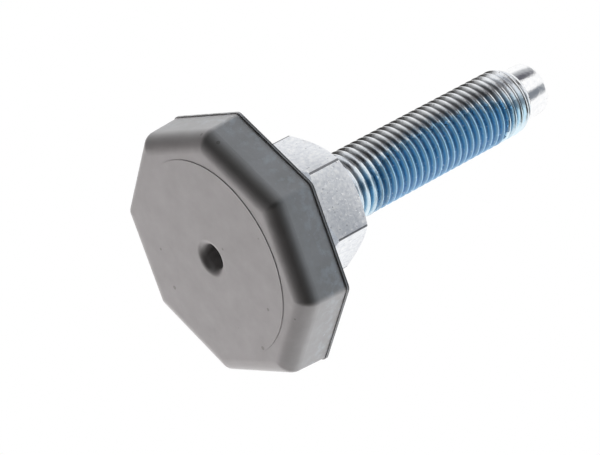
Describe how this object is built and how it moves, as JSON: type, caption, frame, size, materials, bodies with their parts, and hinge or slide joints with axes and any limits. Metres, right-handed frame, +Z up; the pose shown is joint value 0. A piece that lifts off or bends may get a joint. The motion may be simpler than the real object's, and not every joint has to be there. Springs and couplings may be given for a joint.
{
  "type": "appliance levelling leg",
  "caption": "Screw-in levelling leg for an appliance: rubber pad moulded on a threaded steel stud with a spanner hex and a nylon locking patch.",
  "frame": {"origin": "middle of the sole, in the plane that rests on the floor", "axes": "+Z up the stud's axis, away from the floor; +X and +Y square to two pairs of the pad's flat sides"},
  "size_m": [0.0354, 0.0354, 0.061],
  "materials": {
    "pad_rubber": "satin",
    "zinc_steel": "satin",
    "patch_nylon": "matte"
  },
  "bodies": {
    "root": {"foot_pad": "pad_rubber", "stud": "zinc_steel", "locking_patch": "patch_nylon"}
  },
  "joints": []
}
